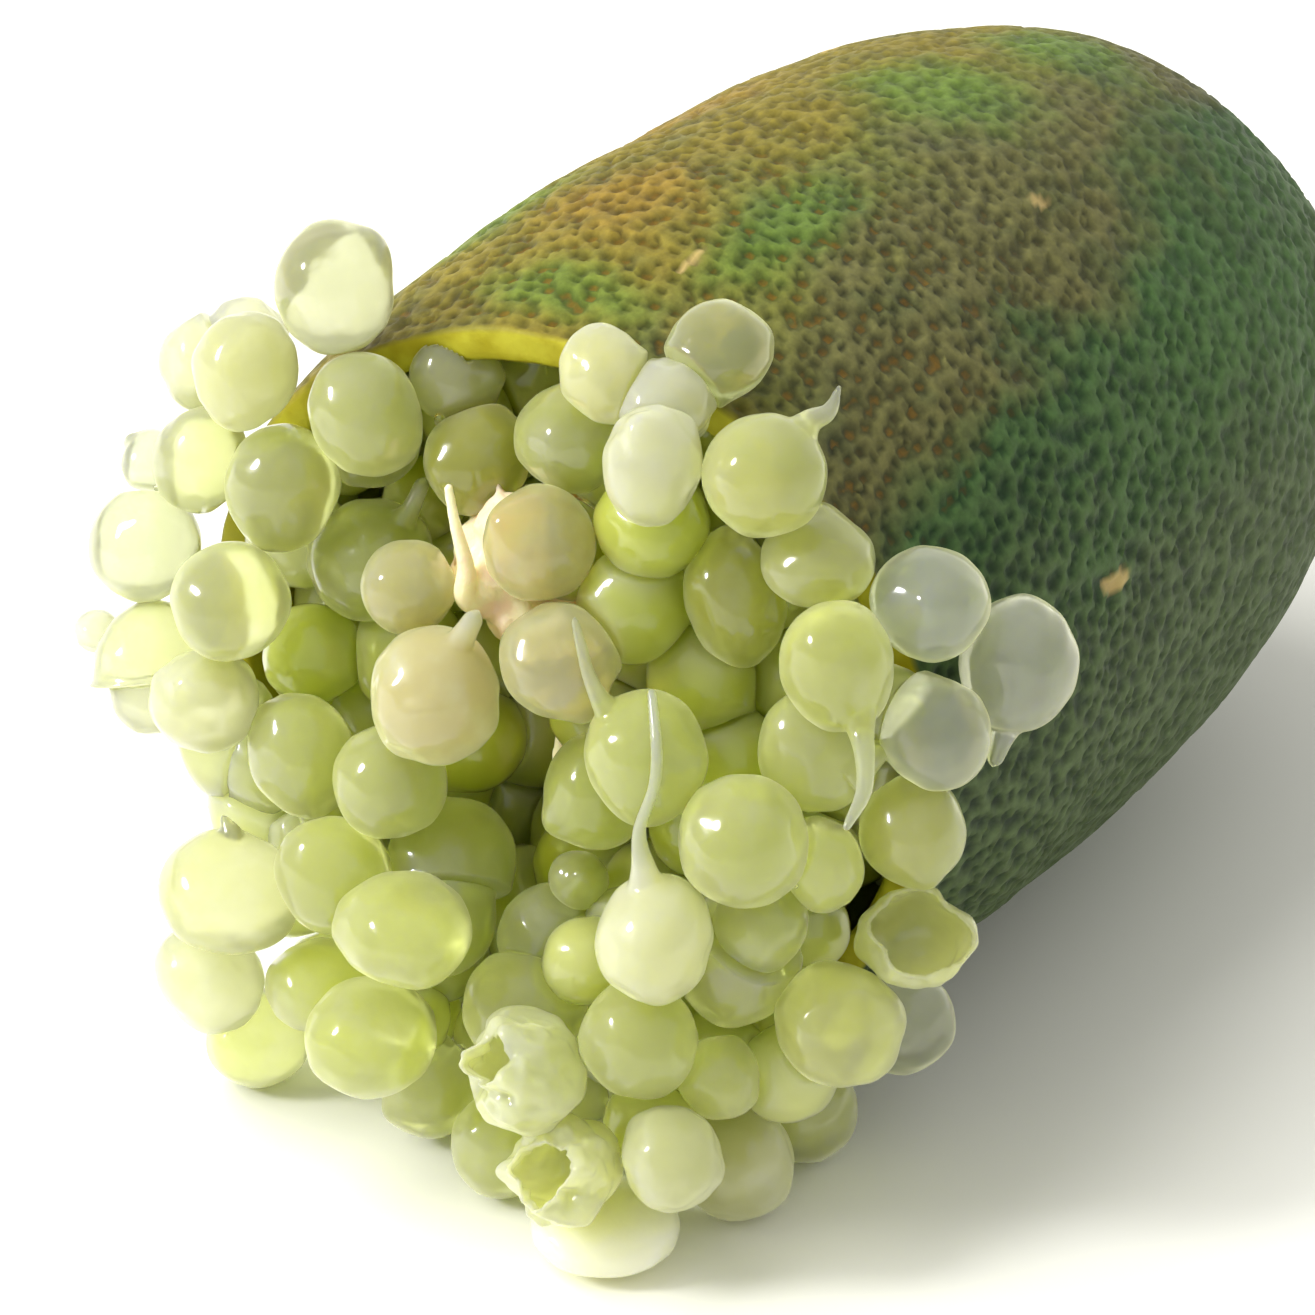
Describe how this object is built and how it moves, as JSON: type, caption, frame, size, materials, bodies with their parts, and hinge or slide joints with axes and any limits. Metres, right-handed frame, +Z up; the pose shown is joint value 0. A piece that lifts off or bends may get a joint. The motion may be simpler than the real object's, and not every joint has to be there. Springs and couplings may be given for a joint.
{
  "type": "finger lime half",
  "caption": "Half of a finger lime lying on its side, cut across, with a thin pitted rind and juice vesicles that bulge out of the cut and spill down to the surface.",
  "frame": {"origin": "on the surface that the fruit lies on, below the middle of the object's box", "axes": "+X along the fruit's axis, out of the cut end; +Y to the right of someone who faces the cut; +Z up"},
  "size_m": [0.0492, 0.0306, 0.0281],
  "materials": {
    "rind": "pitted skin with a waxy gloss, olive brown to blue green",
    "core": "moist pinkish beige fibre",
    "pulp": "packed wet vesicles, translucent olive green",
    "vesicle": "wet translucent yellow green sac with a milky rim",
    "clear_vesicle": "wet, nearly clear sac with a milky rim"
  },
  "bodies": {
    "root": {"rind": "rind", "core": "core", "pulp": "pulp", "clear_vesicle_1": "clear_vesicle", "clear_vesicle_2": "clear_vesicle", "clear_vesicle_3": "clear_vesicle", "clear_vesicle_4": "clear_vesicle", "clear_vesicle_5": "clear_vesicle", "floor_vesicle_1": "vesicle", "floor_vesicle_2": "vesicle", "floor_vesicle_3": "vesicle", "floor_vesicle_4": "vesicle", "floor_vesicle_5": "vesicle", "heap_vesicle_1": "vesicle", "heap_vesicle_2": "vesicle", "heap_vesicle_3": "vesicle", "heap_vesicle_4": "vesicle", "heap_vesicle_5": "vesicle", "heap_vesicle_6": "vesicle", "heap_vesicle_7": "vesicle", "heap_vesicle_8": "vesicle", "heap_vesicle_9": "vesicle", "left_vesicle_1": "vesicle", "left_vesicle_2": "vesicle", "left_vesicle_3": "vesicle", "left_vesicle_4": "vesicle", "left_vesicle_5": "vesicle", "left_vesicle_6": "vesicle", "left_vesicle_7": "vesicle", "left_vesicle_8": "vesicle", "middle_vesicle_1": "vesicle", "middle_vesicle_2": "vesicle", "middle_vesicle_3": "vesicle", "middle_vesicle_4": "vesicle", "middle_vesicle_5": "vesicle", "middle_vesicle_6": "vesicle", "middle_vesicle_7": "vesicle", "middle_vesicle_8": "vesicle", "right_vesicle_1": "vesicle", "right_vesicle_10": "vesicle", "right_vesicle_2": "vesicle", "right_vesicle_3": "vesicle", "right_vesicle_4": "vesicle", "right_vesicle_5": "vesicle", "right_vesicle_6": "vesicle", "right_vesicle_7": "vesicle", "right_vesicle_8": "vesicle", "right_vesicle_9": "vesicle", "top_vesicle_1": "vesicle", "top_vesicle_2": "vesicle", "top_vesicle_3": "vesicle", "top_vesicle_4": "vesicle", "top_vesicle_5": "vesicle", "top_vesicle_6": "vesicle", "top_vesicle_7": "vesicle", "top_vesicle_8": "vesicle", "top_vesicle_9": "vesicle", "torn_vesicle_1": "vesicle", "torn_vesicle_2": "vesicle", "torn_vesicle_3": "vesicle"}
  },
  "joints": []
}
